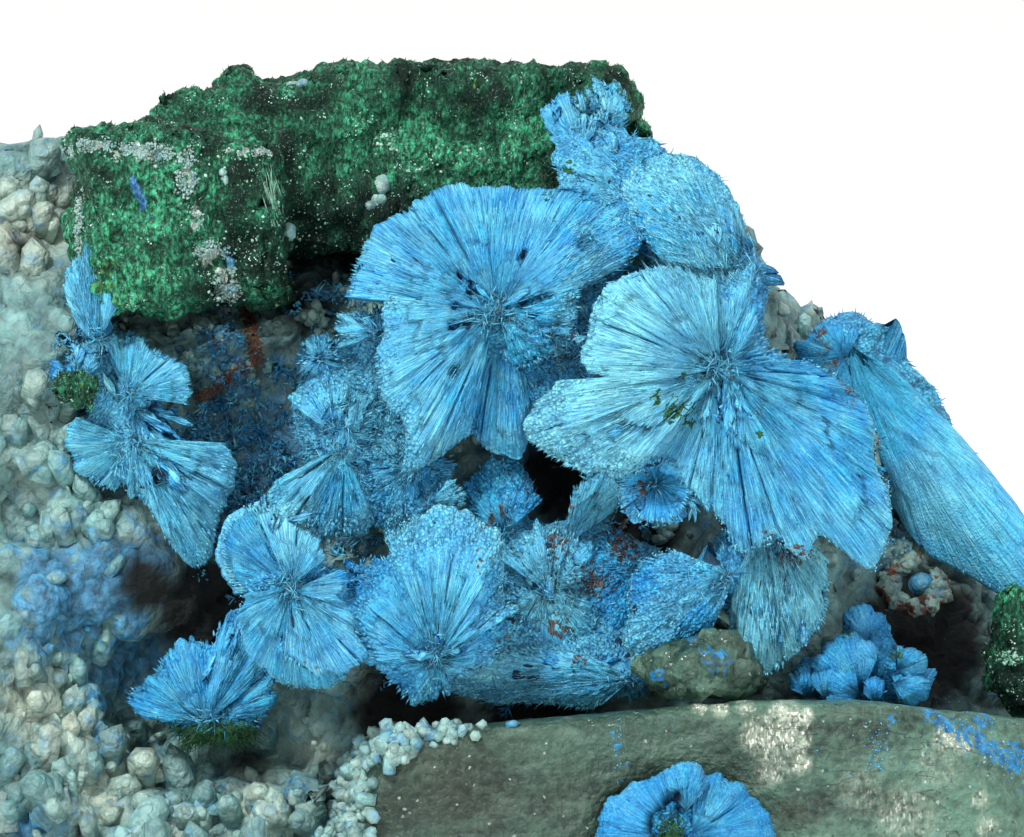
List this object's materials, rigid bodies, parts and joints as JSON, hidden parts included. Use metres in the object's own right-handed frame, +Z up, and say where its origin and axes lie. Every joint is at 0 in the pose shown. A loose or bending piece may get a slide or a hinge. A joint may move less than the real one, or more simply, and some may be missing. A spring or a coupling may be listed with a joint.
{
  "type": "shattuckite pseudomorph after malachite, mineral specimen on quartz matrix",
  "caption": "Miniature mineral specimen: radiating blue shattuckite sprays and a dark green malachite crust on drusy quartz matrix, standing on a flat cut base.",
  "frame": {"origin": "a point on the flat cut base, under the middle of the specimen", "axes": "+Z up from the base, -Y toward the viewer of the blue face, +X to the viewer's right"},
  "size_m": [0.0626, 0.0406, 0.0424],
  "materials": {
    "shattuckite": "silky, fibrous",
    "malachite": "granular, glinting",
    "drusy_quartz": "drusy, part glassy",
    "smoky_quartz": "translucent, glassy"
  },
  "bodies": {
    "root": {"shattuckite_main_rosettes": "shattuckite", "shattuckite_lower_rosettes": "shattuckite", "shattuckite_left_rosettes": "shattuckite", "shattuckite_middle_sprays": "shattuckite", "shattuckite_hollow_sprays": "shattuckite", "shattuckite_hanging_fringe": "shattuckite", "shattuckite_right_slope": "shattuckite", "shattuckite_nook_buds": "shattuckite", "shattuckite_corner_spray": "shattuckite", "shattuckite_ledge_rosette": "shattuckite", "malachite_crust": "malachite", "malachite_east_knob": "malachite", "malachite_west_knob": "malachite", "quartz_matrix": "drusy_quartz", "quartz_ledge": "smoky_quartz", "quartz_stub": "smoky_quartz"}
  },
  "joints": []
}
